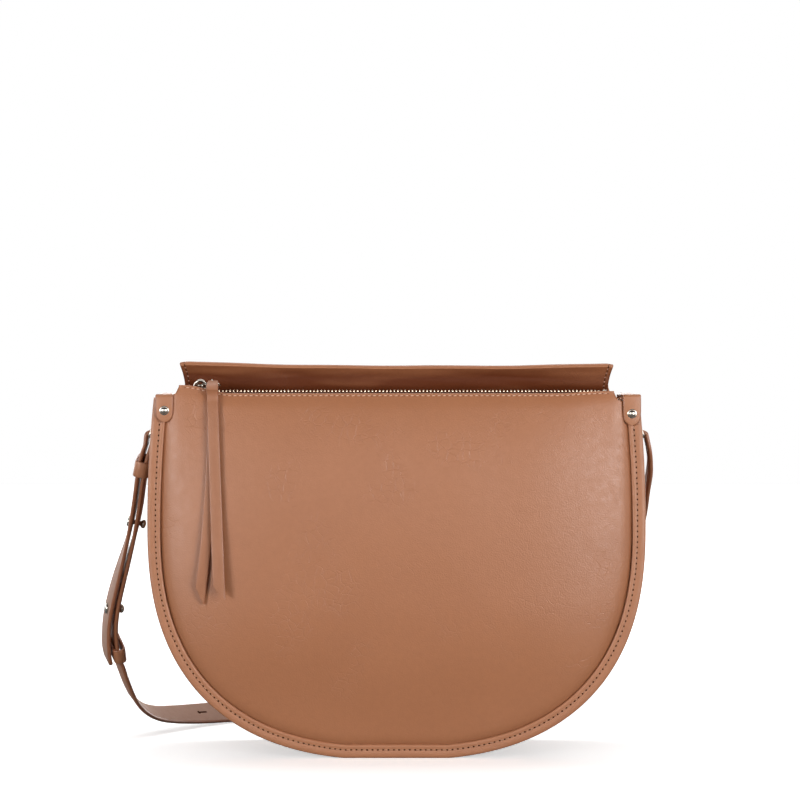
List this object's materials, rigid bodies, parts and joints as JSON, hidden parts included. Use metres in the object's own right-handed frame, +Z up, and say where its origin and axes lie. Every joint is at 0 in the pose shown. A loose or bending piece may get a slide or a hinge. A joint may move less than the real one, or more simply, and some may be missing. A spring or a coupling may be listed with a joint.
{
  "type": "crossbody bag",
  "caption": "Half-moon leather crossbody bag with bound seams, a top zip with a tasselled pull, riveted ears and an adjustable strap on side rings.",
  "frame": {"origin": "on the floor under the middle of the front seam, on the seam's flattened base", "axes": "+X to the bag's right as the picture shows it, +Y to the back, +Z up"},
  "size_m": [0.3432, 0.2328, 0.2377],
  "materials": {
    "tan_leather": "smooth tan leather with a fine grain and a soft sheen",
    "lining_cloth": "plain brown cotton lining",
    "zip_tape": "woven brown zip tape",
    "nickel": "polished nickel, slightly worn",
    "stiffener_board": "bonded fibre board"
  },
  "bodies": {
    "bag": {"front_panel": "tan_leather", "back_panel": "tan_leather", "gusset": "tan_leather", "front_seam_binding": "tan_leather", "back_seam_binding": "tan_leather", "top_collar": "tan_leather", "left_ear": "tan_leather", "right_ear": "tan_leather", "lining_front": "lining_cloth", "lining_back": "lining_cloth", "lining_gusset": "lining_cloth", "slip_pocket": "lining_cloth", "zip_tape_front": "zip_tape", "zip_tape_back": "zip_tape", "zip_teeth_front": "nickel", "zip_teeth_back": "nickel", "zip_stop_left": "nickel", "zip_stop_right": "nickel", "left_ear_rivet": "nickel", "right_ear_rivet": "nickel", "left_back_rivet": "nickel", "right_back_rivet": "nickel", "left_swivel_post": "nickel", "right_swivel_post": "nickel", "base_stiffener": "stiffener_board"},
    "slider": {"slider_body": "nickel", "slider_bridge": "nickel"},
    "pull_ring": {"pull_ring": "nickel"},
    "tassel": {"pull_tassel": "tan_leather"},
    "strap": {"left_ring_tab": "tan_leather", "right_ring_tab": "tan_leather", "left_ring": "nickel", "right_ring": "nickel", "shoulder_strap": "tan_leather", "upper_stud": "nickel", "lower_stud": "nickel"},
    "upper_keeper": {"upper_keeper": "tan_leather"},
    "lower_keeper": {"lower_keeper": "tan_leather"}
  },
  "joints": [
    {"name": "zip_slide", "type": "slide", "parent": "bag", "child": "slider", "axis": [1, 0, 0], "range_m": [0, 0.233]},
    {"name": "pull_ring_lift", "type": "hinge", "parent": "slider", "child": "pull_ring", "pos_m": [-0.1113, 0.0113, 0.223], "axis": [-1, 0, 0], "range_deg": [0, 70]},
    {"name": "tassel_swing", "type": "hinge", "parent": "pull_ring", "child": "tassel", "pos_m": [-0.1113, 0.00179, 0.22434], "axis": [-1, 0, 0], "range_deg": [0, 75]},
    {"name": "strap_swing", "type": "hinge", "parent": "bag", "child": "strap", "pos_m": [0, 0.016, 0.209], "axis": [1, 0, 0], "range_deg": [0, 150]},
    {"name": "upper_keeper_slide", "type": "slide", "parent": "strap", "child": "upper_keeper", "axis": [0.1916, -0.2129, 0.9581], "range_m": [-0.004, 0.003]},
    {"name": "lower_keeper_slide", "type": "slide", "parent": "strap", "child": "lower_keeper", "axis": [-0.0325, -0.4874, 0.8726], "range_m": [0, 0.005]}
  ]
}
